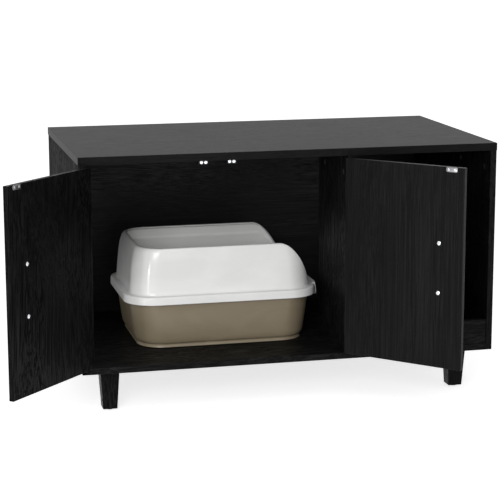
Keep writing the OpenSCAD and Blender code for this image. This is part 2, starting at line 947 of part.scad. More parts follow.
// A flat flange from the skirt's outside to the inside of the guard's wall
module guard_flange(wall_z, outer_r) {
    translate([0, 0, flange_z]) linear_extrude(wall_z - flange_z) difference() {
        rounded(guard_skirt_w, guard_skirt_d, outer_r);
        rounded(guard_foot_w - 2 * tray_wall, guard_foot_d - 2 * tray_wall,
            tray_corner_r - tray_wall);
    }
}

// A flap that hangs from the flange at the right end, and flares out a little
module finger_flap(wall_z) {
    root_x = guard_skirt_w / 2 - tray_wall / 2;
    tip_x = guard_skirt_w / 2 + guard_flap_out;
    bend_x = tip_x - guard_flap_out / 3;
    translate([0, guard_flap_w / 2, 0]) rotate([90, 0, 0]) linear_extrude(guard_flap_w) polygon([
        [root_x, wall_z - tray_wall],
        [bend_x - tray_wall, wall_z - tray_wall],
        [tip_x - tray_wall, wall_z - guard_flap_h],
        [tip_x, wall_z - guard_flap_h],
        [bend_x, wall_z],
        [root_x, wall_z]
    ]);
}

module spray_guard() {
    wall_z = flange_z + tray_wall;
    top_z = wall_z + guard_wall_h;
    flange_r = tray_corner_r + guard_flange_w;
    color(GUARD_WHITE) at_tray() {
        intersection() {
            difference() {
                guard_body(0, flange_z, top_z);
                guard_body(tray_wall, flange_z - JOIN, top_z + JOIN);
            }
            guard_outline();
        }
        guard_flange(wall_z, flange_r);
        ring(guard_skirt_w, guard_skirt_d, flange_r, tray_wall, wall_z - guard_skirt_h, wall_z);
        finger_flap(wall_z);
    }
}

top_board();
left_side_board();
right_side_board();
bottom_board();
back_board();
divider_board();
threshold_board();
front_left_leg();
front_right_leg();
rear_left_leg();
rear_right_leg();
leg_bolts();
leg_inserts();
floor_glides();
top_cams();
top_cam_bolts();
bottom_cams();
bottom_cam_bolts();
dowels();
long_screws();
back_nails();
catch_bodies();
catch_magnets();
catch_screws();
left_hinge_frame_leaves();
right_hinge_frame_leaves();
hinge_pins();
hinge_frame_screws();
left_door();
left_hinge_door_leaves();
left_hinge_door_screws();
left_pull();
left_pull_screws();
left_strike();
left_strike_screws();
right_door();
right_hinge_door_leaves();
right_hinge_door_screws();
right_pull();
right_pull_screws();
right_strike();
right_strike_screws();
litter_tray();
spray_guard();
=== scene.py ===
"""Looks of a pet crate end table: a low black board cabinet on tapered legs, with two open
doors, an open pet entry, and a litter tray with a tall white guard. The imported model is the
fixed frame, and nothing of it is moved. Lengths are in metres, but in millimetres in the
section on the tray and its guard, where the finished points are turned to metres."""

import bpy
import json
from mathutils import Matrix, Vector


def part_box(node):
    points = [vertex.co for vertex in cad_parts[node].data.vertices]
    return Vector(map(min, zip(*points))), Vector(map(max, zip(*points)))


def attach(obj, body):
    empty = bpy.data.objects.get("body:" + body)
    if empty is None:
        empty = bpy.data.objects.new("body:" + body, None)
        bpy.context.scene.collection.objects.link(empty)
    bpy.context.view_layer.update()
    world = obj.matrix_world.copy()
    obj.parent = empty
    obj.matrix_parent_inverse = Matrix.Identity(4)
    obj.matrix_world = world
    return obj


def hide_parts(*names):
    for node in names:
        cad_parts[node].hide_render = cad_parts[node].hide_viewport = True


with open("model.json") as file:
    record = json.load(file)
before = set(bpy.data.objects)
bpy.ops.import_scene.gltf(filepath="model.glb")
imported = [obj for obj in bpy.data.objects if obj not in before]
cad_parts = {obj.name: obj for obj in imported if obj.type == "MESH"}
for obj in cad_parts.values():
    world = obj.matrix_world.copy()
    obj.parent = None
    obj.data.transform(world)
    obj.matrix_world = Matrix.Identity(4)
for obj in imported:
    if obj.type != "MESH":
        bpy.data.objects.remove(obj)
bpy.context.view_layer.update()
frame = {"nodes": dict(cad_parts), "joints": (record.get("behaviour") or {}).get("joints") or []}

import json
import math

import bmesh
import bpy
import numpy as np
from mathutils import Matrix, Vector

MM = 0.001
NODES = frame["nodes"]
JOINTS = {joint["name"]: joint for joint in frame["joints"]}


def in_scene(name, data):
    """A new object with that data, linked to the scene."""
    made = bpy.data.objects.new(name, data)
    bpy.context.scene.collection.objects.link(made)
    return made


# Camera

LENS_MM, SENSOR_MM = 122.242, 36
NEAREST, FARTHEST = 0.1, 200
CAMERA_PLACE = (-1.00079, -4.02987, 1.15496)
HEADING_DEG, TILT_DEG, ROLL_DEG = 13.4537, -11.3766, -0.1129


def set_camera():
    """The camera looks along +Y, turned clockwise by its heading and up by its tilt. It rolls
    about the line that it looks along."""
    data = bpy.data.cameras.new("camera")
    data.lens, data.sensor_width, data.sensor_fit = LENS_MM, SENSOR_MM, "HORIZONTAL"
    data.clip_start, data.clip_end = NEAREST, FARTHEST
    camera = in_scene("camera", data)
    heading = Matrix.Rotation(-math.radians(HEADING_DEG), 4, "Z")
    tilt = Matrix.Rotation(math.radians(90 + TILT_DEG), 4, "X")
    roll = Matrix.Rotation(math.radians(ROLL_DEG), 4, "Z")
    camera.matrix_world = Matrix.Translation(CAMERA_PLACE) @ heading @ tilt @ roll
    bpy.context.scene.camera = camera


# Sizes of the table

def middle(node):
    """The middle of a CAD node's box."""
    low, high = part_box(node)
    return (low + high) / 2


DOOR_T = 12 * MM
# How far the hinges' axes stand out in front of the cabinet
AXIS_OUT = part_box("left_side_board")[0].y - JOINTS["left_door_swing"]["pos_m"][1]
PULL_X, PULL_Z = 245 * MM, middle("left_pull").z
PULL_PITCH, PULL_REACH = 115 * MM, 22 * MM
PULL_BAR_L, PULL_BAR_R, PULL_POST_R = 145 * MM, 5 * MM, 4 * MM
PULL_SCREW = {"radius": 4.75 * MM, "height": 2.4 * MM, "shank_r": 2 * MM,
              "shank_l": DOOR_T + 8 * MM}
STRIKE_X, STRIKE_Z = 273.5 * MM, middle("left_strike").z
STRIKE_W, STRIKE_H, STRIKE_T = 28 * MM, 11 * MM, 1 * MM
STRIKE_CORNER, STRIKE_RIM, STRIKE_PITCH = 3.5 * MM, 0.35 * MM, 16 * MM
STRIKE_SCREW = {"radius": 2.85 * MM, "height": 0.6 * MM, "shank_r": 1.5 * MM,
                "shank_l": 9 * MM, "sides": 48, "rows": 12}
STRIKE_SCREW_SUNK = 0.38 * MM
CATCH_LOW, CATCH_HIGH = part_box("catch_bodies")
CATCH_W, CATCH_CORNER, CATCH_RIM = 24 * MM, 1.2 * MM, 0.5 * MM
# How far the catch's face and its magnets stand back from the front of its box
CATCH_BACK, MAGNET_BACK, MAGNET_PITCH = 0.3 * MM, 0.2 * MM, 10 * MM
LEG_X, LEG_Y = middle("rear_right_leg").xy
TRAY_PLACE = (*middle("litter_tray").xy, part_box("litter_tray")[0].z)

# Ways to lay a shape's own height axis: towards the front, and towards the rear
TO_FRONT = ((1, 0, 0), (0, 0, 1), (0, -1, 0))
TO_REAR = ((1, 0, 0), (0, 0, -1), (0, 1, 0))


# Surfaces

MERGE_MADE, MERGE_CAD = 1e-7, 2e-6


def grid_faces(rows, columns, wrap_rows=False):
    """The four corners of each cell of a grid of points, numbered row by row. Each row closes on
    itself, and wrapped rows join the last one to the first."""
    i = np.arange(rows if wrap_rows else rows - 1)[:, None]
    j = np.arange(columns)[None, :]
    i2, j2 = (i + 1) % rows, (j + 1) % columns
    corners = [i * columns + j, i * columns + j2, i2 * columns + j2, i2 * columns + j]
    return np.stack(np.broadcast_arrays(*corners), -1).reshape(-1, 4)


def lathe_rings(profile, sides):
    """Each profile point (radius, height) becomes a ring: x = radius cos a, y = radius sin a,
    z = height, for a going once round in even steps."""
    profile = np.asarray(profile, float)
    a = np.arange(sides) * 2 * math.pi / sides
    radius, height = profile[:, :1], profile[:, 1:]
    return np.stack([radius * np.cos(a), radius * np.sin(a),
                     np.broadcast_to(height, (len(profile), sides))], -1)


def closed_loft(rings):
    """Points and faces of rings joined in order, the first and the last ring capped flat."""
    rows, columns = rings.shape[:2]
    faces = grid_faces(rows, columns)[:, ::-1].tolist()
    faces.append(list(range(columns)))
    faces.append(list(range((rows - 1) * columns, rows * columns))[::-1])
    return rings.reshape(-1, 3), faces


def placed(points, origin, axes=((1, 0, 0), (0, 1, 0), (0, 0, 1))):
    """Each point's three numbers are lengths along the three axes from the origin."""
    return np.asarray(points) @ np.asarray(axes, float) + np.asarray(origin, float)


def piece(name, parts, finish, body, nodes, smooth_deg=35):
    """One object from parts, each (points, faces). Its normals are made to point outwards."""
    points, faces, start = [], [], 0
    for part_points, part_faces in parts:
        points.append(part_points)
        faces += [[start + v for v in face] for face in part_faces]
        start += len(part_points)
    mesh = bpy.data.meshes.new(name)
    mesh.from_pydata(np.concatenate(points).tolist(), [], faces)
    work = bmesh.new()
    work.from_mesh(mesh)
    bmesh.ops.remove_doubles(work, verts=work.verts, dist=MERGE_MADE)
    bmesh.ops.recalc_face_normals(work, faces=work.faces)
    work.to_mesh(mesh)
    work.free()
    finished(name, mesh, finish, body, nodes, smooth_deg)


def finished(name, mesh, finish, body, nodes, smooth_deg):
    """Puts a mesh into the scene as a piece that rides on a body and stands for CAD nodes."""
    mesh.polygons.foreach_set("use_smooth", np.full(len(mesh.polygons), smooth_deg > 0))
    if smooth_deg > 0:
        mesh.set_sharp_from_angle(angle=math.radians(smooth_deg))
    made = in_scene(name, mesh)
    mesh.materials.append(finish)
    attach(made, body)
    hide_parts(*nodes)
    return made


def door_axes(joint):
    """Origin and axes of an open door: x along the door from its hinge, y from its outer face
    to its inner one, z up. The joint's upper limit shuts the door, so it is the angle by which
    the door stands open; the joint's axis points up for the left door and down for the right."""
    turn, side = math.radians(joint["range_deg"][1]), joint["axis"][2]
    along = (side * math.cos(turn), -math.sin(turn), 0)
    across = (side * math.sin(turn), math.cos(turn), 0)
    return (*joint["pos_m"][:2], 0), (along, across, (0, 0, 1))


# Material kit

def socket_names(group, kind, names):
    """Adds the named sockets to a shader node group. names maps each to (type, default)."""
    for name, (socket_type, default) in names.items():
        made = group.interface.new_socket(name, in_out=kind, socket_type=socket_type)
        if default is not None:
            made.default_value = default


class Nodes:
    """A short way to add nodes to a tree and to join them."""

    def __init__(self, tree):
        self.tree = tree

    def add(self, kind, settings=None, **inputs):
        """A new node with its own settings. An input's name has _ for each space."""
        node = self.tree.nodes.new(kind)
        for key, value in (settings or {}).items():
            setattr(node, key, value)
        for key, value in inputs.items():
            self.put(node, key.replace("_", " "), value)
        return node

    def put(self, node, key, value):
        """Joins a socket to a node's input, or sets the input. A key of digits is its place."""
        socket = node.inputs[int(key)] if key.isdigit() else node.inputs[key]
        if isinstance(value, bpy.types.NodeSocket):
            self.tree.links.new(value, socket)
        else:
            socket.default_value = value

    def maths(self, operation, first, second=None, clamp=False):
        """What a Math node makes of one or two values."""
        node = self.tree.nodes.new("ShaderNodeMath")
        node.operation, node.use_clamp = operation, clamp
        for index, value in enumerate((first, second)):
            if value is not None:
                self.put(node, str(index), value)
        return node.outputs[0]

    def spread(self, value, low, high, to_low=0.0, to_high=1.0, smooth=True):
        """The value's way from low to high, held to its ends, as a way between the others."""
        node = self.tree.nodes.new("ShaderNodeMapRange")
        node.interpolation_type = "SMOOTHSTEP" if smooth else "LINEAR"
        for index, number in enumerate((value, low, high, to_low, to_high)):
            self.put(node, str(index), number)
        return node.outputs[0]

    def noise(self, vector, scale, detail=3.0, roughness=0.55, distortion=0.0):
        """The level, from 0 to 1, of a noise at the vector."""
        node = self.tree.nodes.new("ShaderNodeTexNoise")
        self.put(node, "Vector", vector)
        self.put(node, "Scale", scale)
        self.put(node, "Detail", detail)
        self.put(node, "Roughness", roughness)
        self.put(node, "Distortion", distortion)
        return node.outputs["Fac"]

    def blend(self, share, low, high):
        """The colour that lies at a share of the way from low to high."""
        node = self.tree.nodes.new("ShaderNodeMix")
        node.data_type = "RGBA"
        for place, value in (("0", share), ("6", low), ("7", high)):
            self.put(node, place, value)
        return node.outputs[2]


def new_group(name, inputs, outputs):
    """An empty shader node group: the group, its kit, what it is given and what it puts out."""
    group = bpy.data.node_groups.new(name, "ShaderNodeTree")
    socket_names(group, "INPUT", inputs)
    socket_names(group, "OUTPUT", outputs)
    kit = Nodes(group)
    return group, kit, group.nodes.new("NodeGroupInput").outputs, group.nodes.new("NodeGroupOutput")


def wood_grain_group():
    """Pressed wood grain. Both vectors are stretched along the grain before they come in, the
    broad one less. The figure is long arches, the contour lines of a slow noise, with fine
    dashes that bend along them, a fast noise cut off at a height; the pores are finer still."""
    group, kit, given, out = new_group("pressed grain", {
        "Vector": ("NodeSocketVector", None),
        "Broad": ("NodeSocketVector", None),
        "Rings": ("NodeSocketFloat", 9.0),
    }, {
        "Figure": ("NodeSocketFloat", None),
        "Pores": ("NodeSocketFloat", None),
        "Height": ("NodeSocketFloat", None),
    })
    slow = kit.noise(given["Broad"], scale=8.0, detail=1.0, roughness=0.4, distortion=0.15)
    turns = kit.maths("MULTIPLY", slow, given["Rings"])
    lines = kit.maths("SINE", kit.maths("MULTIPLY", turns, 2 * math.pi))
    lines = kit.spread(lines, -0.4, 1.0)
    shift = kit.maths("MULTIPLY", slow, 0.12)
    bend = kit.add("ShaderNodeVectorMath", {"operation": "ADD"})
    kit.put(bend, "0", given["Vector"])
    kit.put(bend, "1", shift)
    bent = bend.outputs["Vector"]
    dashes = kit.spread(kit.noise(bent, scale=250.0, detail=4.0, roughness=0.75), 0.42, 0.58)
    pores = kit.spread(kit.noise(bent, scale=400.0, detail=2.0, roughness=0.6), 0.49, 0.56)
    patches = kit.noise(given["Broad"], scale=4.0, detail=1.0, roughness=0.5)
    patches = kit.maths("MULTIPLY", kit.spread(patches, 0.35, 0.7), 0.7)
    arches = kit.maths("MULTIPLY", lines, kit.maths("ADD", 0.3, patches))
    figure = kit.maths("ADD", kit.maths("MULTIPLY", arches, 0.30),
                       kit.maths("MULTIPLY", dashes, 0.70), clamp=True)
    height = kit.maths("SUBTRACT", figure, kit.maths("MULTIPLY", pores, 0.6))
    for name, value in (("Figure", figure), ("Pores", pores), ("Height", height)):
        kit.put(out, name, value)
    return group


def edge_wear_group():
    """Worn edges, which the finishes paint lighter: partly wear, partly a painted highlight along
    the edges. Where the surface turns within the radius, the rounded normal leaves the true normal;
    one less their dot product is the turn, and a noise breaks it up."""
    group, kit, given, out = new_group("edge wear", {
        "Vector": ("NodeSocketVector", None),
        "Radius": ("NodeSocketFloat", 0.002),
        "Breakup": ("NodeSocketFloat", 60.0),
    }, {"Wear": ("NodeSocketFloat", None)})
    bevel = kit.add("ShaderNodeBevel", {"samples": 6}, Radius=given["Radius"])
    plain = kit.add("ShaderNodeNewGeometry").outputs["Normal"]
    dot = kit.add("ShaderNodeVectorMath", {"operation": "DOT_PRODUCT"})
    kit.put(dot, "0", bevel.outputs["Normal"])
    kit.put(dot, "1", plain)
    turn = kit.spread(kit.maths("SUBTRACT", 1.0, dot.outputs["Value"]), 0.01, 0.25)
    broken = kit.noise(given["Vector"], given["Breakup"])
    broken = kit.spread(broken, 0.35, 0.6, to_low=0.35, to_high=1.0)
    kit.put(out, "Wear", kit.maths("MULTIPLY", turn, broken, clamp=True))
    return group


def handling_group():
    """Faint smudges and dust, as masks: a slow noise, and the peaks of a fine one as specks."""
    group, kit, given, out = new_group("handling marks", {
        "Vector": ("NodeSocketVector", None),
        "Size": ("NodeSocketFloat", 8.0),
    }, {"Smudge": ("NodeSocketFloat", None), "Speck": ("NodeSocketFloat", None)})
    smudge = kit.noise(given["Vector"], given["Size"], detail=4.0, roughness=0.6)
    speck_scale = kit.maths("MULTIPLY", given["Size"], 110.0)
    specks = kit.noise(given["Vector"], speck_scale, detail=2.0, roughness=0.7)
    kit.put(out, "Smudge", kit.spread(smudge, 0.35, 0.75))
    kit.put(out, "Speck", kit.spread(specks, 0.66, 0.78))
    return group


GRAIN, WEAR_AND_HIGHLIGHT, HANDLING = wood_grain_group(), edge_wear_group(), handling_group()


def use_group(kit, group, **inputs):
    """Places a group in a material with its own values, and returns what it puts out."""
    node = kit.tree.nodes.new("ShaderNodeGroup")
    node.node_tree = group
    for key, value in inputs.items():
        kit.put(node, key, value)
    return node.outputs


def new_material(name, **plain):
    """A material with a Principled shader whose constant sockets are set straight on it."""
    material = bpy.data.materials.new(name)
    material.use_nodes = True
    tree = material.node_tree
    shader = tree.nodes["Principled BSDF"]
    for key, value in plain.items():
        shader.inputs[key.replace("_", " ")].default_value = value
    kit = Nodes(tree)
    here = tree.nodes.new("ShaderNodeTexCoord").outputs["Object"]
    return material, kit, shader, here


def stretched(kit, here, scale, offset=(0, 0, 0)):
    """The coordinate scaled on each axis, which draws a pattern out along its smallest scale."""
    node = kit.tree.nodes.new("ShaderNodeMapping")
    kit.put(node, "Vector", here)
    node.inputs["Location"].default_value = offset
    node.inputs["Scale"].default_value = scale
    return node.outputs["Vector"]


def bump(kit, shader, height, distance, strength):
    """Tilts the shader's normal as if a height of 1 stood out by the distance."""
    node = kit.tree.nodes.new("ShaderNodeBump")
    kit.put(node, "Height", height)
    node.inputs["Distance"].default_value = distance
    node.inputs["Strength"].default_value = strength
    kit.put(shader, "Normal", node.outputs["Normal"])


def grey(level, tint=(1, 1, 1)):
    """A colour of that level, with each channel scaled by the tint."""
    return tuple(level * share for share in tint) + (1,)


def scaled(colour, factor):
    """A colour made darker or lighter by a factor, with no channel past 1."""
    return tuple(min(1.0, channel * factor) for channel in colour[:3]) + (1,)


def board_finish(name, scale, offset=(0, 0, 0), dark=0.0012, light=0.0125, gloss=(0.24, 0.36),
                 rings=9.0, sheen=0.06, relief=0.55):
    """Black laminate pressed with a wood grain. scale is small along the grain, dark and light
    are the colour of its ground and figure, gloss is the roughness from figure to ground, and
    relief is how deep it is pressed."""
    material, kit, shader, here = new_material(name, Specular_IOR_Level=sheen)
    vector = stretched(kit, here, scale, offset)
    broad = stretched(kit, here, tuple(min(1.0, 6.0 * share) for share in scale), offset)
    grain = use_group(kit, GRAIN, Vector=vector, Broad=broad, Rings=rings)
    wear_and_highlight = use_group(kit, WEAR_AND_HIGHLIGHT, Vector=here, Radius=1.4 * MM, Breakup=45.0)["Wear"]
    marks = use_group(kit, HANDLING, Vector=here, Size=5.0)
    colour = kit.blend(grain["Figure"], grey(dark, (1, 1, 1.04)), grey(light, (1, 1, 1.03)))
    depth = kit.maths("MULTIPLY", grain["Pores"], min(1.0, 0.45 + 0.6 * relief))
    colour = kit.blend(depth, colour, grey(dark * 0.4))
    # Edges painted lighter: partly wear, partly a painted highlight along the edges
    colour = kit.blend(kit.maths("MULTIPLY", wear_and_highlight, 0.5), colour, grey(0.03, (1, 0.98, 0.95)))
    kit.put(shader, "Base Color", colour)
    rough = kit.spread(grain["Figure"], 0.0, 1.0, gloss[1], gloss[0], smooth=False)
    rough = kit.maths("ADD", rough, kit.maths("MULTIPLY", marks["Smudge"], 0.12 * relief))
    rough = kit.maths("ADD", rough, kit.maths("MULTIPLY", grain["Pores"], 0.6 * relief), clamp=True)
    kit.put(shader, "Roughness", rough)
    bump(kit, shader, grain["Height"], distance=0.22 * MM, strength=relief)
    return material


def metal_finish(name, colour, rough, scale=(1, 1, 1), brushed=0.12, tarnish=0.25):
    """Plated metal: a brushed noise drawn out along the smallest scale varies the gloss, and
    slow smudges of tarnish darken it."""
    material, kit, shader, here = new_material(name, Metallic=1.0)
    brush = kit.noise(stretched(kit, here, scale), scale=900.0, detail=2.0, roughness=0.6)
    marks = use_group(kit, HANDLING, Vector=here, Size=40.0)
    wear_and_highlight = use_group(kit, WEAR_AND_HIGHLIGHT, Vector=here, Radius=0.5 * MM, Breakup=300.0)["Wear"]
    base = kit.blend(marks["Smudge"], colour, scaled(colour, 1 - tarnish))
    # Edges painted brighter: partly worn plating, partly a painted edge highlight
    kit.put(shader, "Base Color", kit.blend(wear_and_highlight, base, scaled(colour, 1.12)))
    smoothest, roughest = max(0.03, rough - brushed), rough + brushed
    kit.put(shader, "Roughness", kit.spread(brush, 0.3, 0.7, smoothest, roughest, smooth=False))
    bump(kit, shader, brush, distance=0.02 * MM, strength=0.4)
    return material


def moulded_finish(name, colour, shade, rough, texture_mm=0.03, sheen=0.5):
    """Moulded plastic: slow flow marks tint it towards its shade, specks break its colour, worn
    edges are painted lighter, partly as wear and partly as a painted edge highlight, and a fine
    orange-peel noise bends its gloss."""
    material, kit, shader, here = new_material(name, Specular_IOR_Level=sheen)
    flow = kit.noise(stretched(kit, here, (1, 1, 2.5)), scale=7.0, roughness=0.5, distortion=0.6)
    marks = use_group(kit, HANDLING, Vector=here, Size=9.0)
    wear_and_highlight = use_group(kit, WEAR_AND_HIGHLIGHT, Vector=here, Radius=1.2 * MM, Breakup=80.0)["Wear"]
    base = kit.blend(kit.spread(flow, 0.3, 0.7), colour, shade)
    base = kit.blend(kit.maths("MULTIPLY", marks["Speck"], 0.10), base, grey(0.25, (1, 0.93, 0.8)))
    # Edges painted lighter: partly wear, partly a painted highlight along the rims
    base = kit.blend(kit.maths("MULTIPLY", wear_and_highlight, 0.25), base, scaled(colour, 1.15))
    kit.put(shader, "Base Color", base)
    peel = kit.noise(here, scale=700.0, detail=2.0, roughness=0.5)
    smudged = kit.spread(marks["Smudge"], 0.0, 1.0, rough, rough + 0.09, smooth=False)
    kit.put(shader, "Roughness", kit.maths("ADD", smudged, kit.maths("MULTIPLY", peel, 0.04)))
    bump(kit, shader, peel, distance=texture_mm * MM, strength=0.5)
    return material


def all_finishes():
    """The finishes, by the name that this script uses for them."""
    white, white_shade = (0.80, 0.80, 0.79, 1), (0.745, 0.745, 0.735, 1)
    return {
        "upright board": board_finish("black board, grain upright", (1, 1, 0.028), dark=0.0022,
                                      light=0.0150, relief=0.4),
        # The left door's colour is darker than the right door's: partly its own grain's contrast,
        # partly painted shade for the door that the key lamp reaches less
        "left door": board_finish("left door, grain upright, painted darker", (1, 1, 0.05), (0.37, 0.11, 0.2),
                                  dark=0.0004, light=0.0105, gloss=(0.26, 0.34), rings=12.0,
                                  sheen=0.05, relief=0.65),
        "right door": board_finish("right door, grain upright", (1, 1, 0.014), (1.9, 0.6, 0.1),
                                   dark=0.0036, light=0.0116, rings=8.0, sheen=0.07,
                                   relief=0.22),
        "level board": board_finish("black board, grain across", (0.045, 1, 1), (0.4, 0, 0),
                                    dark=0.0022, light=0.0150, gloss=(0.34, 0.46), relief=0.35),
        "tabletop": board_finish("tabletop, grain across", (0.045, 1, 1), (0, 0.3, 0),
                                 dark=0.004, light=0.007, gloss=(0.43, 0.46), rings=6.0,
                                 sheen=0.07, relief=0.07),
        "left side": board_finish("left side, grain upright", (1, 1, 0.045), (0.7, 0.2, 0.4),
                                  dark=0.0025, light=0.0180, gloss=(0.50, 0.60), sheen=0.02),
        "back": board_finish("hardboard back, grain across", (0.014, 1, 1), (0.2, 0.4, 0.1),
                             dark=0.0026, light=0.0098, rings=14.0, sheen=0.13, relief=0.3),
        "leg": board_finish("black leg, grain upright", (1, 1, 0.08), (0.2, 0.1, 0)),
        "zinc": metal_finish("bright zinc plate", (0.72, 0.73, 0.75, 1), 0.30),
        "cam": metal_finish("dull zinc alloy", (0.18, 0.18, 0.185, 1), 0.34),
        "strike": metal_finish("zinc strike plate", (0.30, 0.30, 0.31, 1), 0.34),
        "magnet": metal_finish("nickel magnet", (0.84, 0.85, 0.87, 1), 0.14, tarnish=0.1),
        "pull": metal_finish("black powder coat", (0.035, 0.035, 0.036, 1), 0.38,
                             scale=(1, 1, 0.2)),
        "hinge": metal_finish("blackened hinge steel", (0.020, 0.020, 0.021, 1), 0.42,
                              scale=(1, 1, 0.2)),
        "dowel": dowel_finish(),
        "glide": moulded_finish("dark glide plastic", (0.018, 0.018, 0.018, 1),
                                (0.012, 0.012, 0.012, 1), 0.45),
        "guard": moulded_finish("white moulded guard", white, white_shade, 0.15, sheen=0.35),
        "tray": moulded_finish("taupe moulded tray", (0.232, 0.190, 0.128, 1),
                               (0.200, 0.163, 0.108, 1), 0.30, texture_mm=0.05, sheen=0.4),
    }


def dowel_finish():
    """Bare beech: fine rings along the dowel, with short flecks."""
    material, kit, shader, here = new_material("bare beech", Specular_IOR_Level=0.3)
    grain = use_group(kit, GRAIN, Vector=stretched(kit, here, (1, 1, 0.08)),
                      Broad=stretched(kit, here, (1, 1, 0.3)), Rings=20.0)
    colour = kit.blend(grain["Figure"], (0.50, 0.30, 0.15, 1), (0.62, 0.42, 0.24, 1))
    kit.put(shader, "Base Color", kit.blend(grain["Pores"], colour, (0.30, 0.17, 0.08, 1)))
    kit.put(shader, "Roughness", kit.spread(grain["Figure"], 0.0, 1.0, 0.7, 0.55, smooth=False))
    bump(kit, shader, grain["Height"], distance=0.1 * MM, strength=0.5)
    return material


# Boards, doors and legs

LEAST_EDGE, LEAST_TURN = 12 * MM, math.radians(60)
FLAT_WITHIN = math.radians(0.5)


def eased(node, finish, body, width, segments):
    """The node's own shape with its long outer edges rounded. Its loose triangles are copied,
    merged and joined into flat faces. An edge that is longer than the least length and turns by
    more than the least angle gets the bevel, so drilled holes keep their crisp rims."""
    work = bmesh.new()
    work.from_mesh(NODES[node].data)
    bmesh.ops.remove_doubles(work, verts=work.verts, dist=MERGE_CAD)
    bmesh.ops.dissolve_limit(work, angle_limit=FLAT_WITHIN, verts=work.verts, edges=work.edges)
    weight = work.edges.layers.float.new("bevel_weight_edge")
    for edge in work.edges:
        if len(edge.link_faces) == 2 and edge.calc_length() > LEAST_EDGE:
            edge[weight] = float(abs(edge.calc_face_angle()) > LEAST_TURN)
    mesh = bpy.data.meshes.new(node + "_eased")
    work.to_mesh(mesh)
    work.free()
    made = finished(node + "_eased", mesh, finish, body, [node], smooth_deg=0)
    bevel = made.modifiers.new("eased edges", "BEVEL")
    bevel.limit_method, bevel.width, bevel.segments = "WEIGHT", width, segments
    bevel.use_clamp_overlap = False


def make_boards(finishes):
    """Each row is a node's finish, its body, its slot, and the width in millimetres and the
    segments of its eased edges."""
    rows = {
        "top_board": ("tabletop", "cabinet", "black_board", 0.8, 3),
        "left_side_board": ("left side", "cabinet", "black_board", 0.8, 3),
        "right_side_board": ("upright board", "cabinet", "black_board", 0.8, 3),
        "divider_board": ("upright board", "cabinet", "black_board", 0.8, 3),
        "bottom_board": ("level board", "cabinet", "black_board", 0.8, 3),
        "threshold_board": ("level board", "cabinet", "black_board", 0.8, 3),
        "left_door": ("left door", "left_door", "black_board", 1.0, 3),
        "right_door": ("right door", "right_door", "black_board", 1.0, 3),
        "back_board": ("back", "cabinet", "black_hardboard", 0.4, 2),
    }
    for corner in ("front_left", "front_right", "rear_left", "rear_right"):
        rows[corner + "_leg"] = ("leg", "cabinet", "black_leg_wood", 1.6, 4)
    for node, (finish, body, slot, width_mm, segments) in rows.items():
        eased(node, finishes[finish], body, width_mm * MM, segments)


# Litter tray and guard, in millimetres

CORNER_STEPS, LONG_STEPS, SHORT_STEPS = 28, 46, 22
WALL = 2.8
TRAY_FOOT, TRAY_HEAD = np.array([208.0, 152.0]), np.array([224.7, 156.7])
TRAY_H, TRAY_CORNER, LEAST_CORNER = 127.0, 66.0, 3.0


def rim_walk():
    """Once round a rounded rectangle. Returns X, Y, C, S so that the outline of half width a,
    half depth b and corner radius r is x = X (a - r) + r C, y = Y (b - r) + r S. Along a side
    X or Y runs from -1 to 1 and C, S stay; round a corner C, S turn and X, Y stay."""
    walk = []
    for turn, (cx, cy), (nx, ny), steps in (
            (0, (1, 1), (-1, 1), LONG_STEPS), (90, (-1, 1), (-1, -1), SHORT_STEPS),
            (180, (-1, -1), (1, -1), LONG_STEPS), (270, (1, -1), (1, 1), SHORT_STEPS)):
        a = np.radians(turn + 90 * np.arange(CORNER_STEPS) / CORNER_STEPS)
        walk.append(np.stack([np.full_like(a, cx), np.full_like(a, cy), np.cos(a), np.sin(a)], 1))
        t = np.arange(steps) / steps
        end = np.radians(turn + 90)
        side = np.full_like(t, np.cos(end)), np.full_like(t, np.sin(end))
        walk.append(np.stack([cx + (nx - cx) * t, cy + (ny - cy) * t, *side], 1))
    return np.concatenate(walk).T


WALK = rim_walk()


def outline(a, b, r):
    """x and y of rounded rectangles: a row for each size, a column for each step round."""
    x0, y0, c, s = WALK
    return x0 * (a - r) + r * c, y0 * (b - r) + r * s


def straight(start, end, first, steps):
    """Rows in a straight line from start to end, evenly spaced from the first share on."""
    t = np.linspace(first, 1, steps)[:, None]
    return (np.array(start) + np.subtract(end, start) * t).tolist()


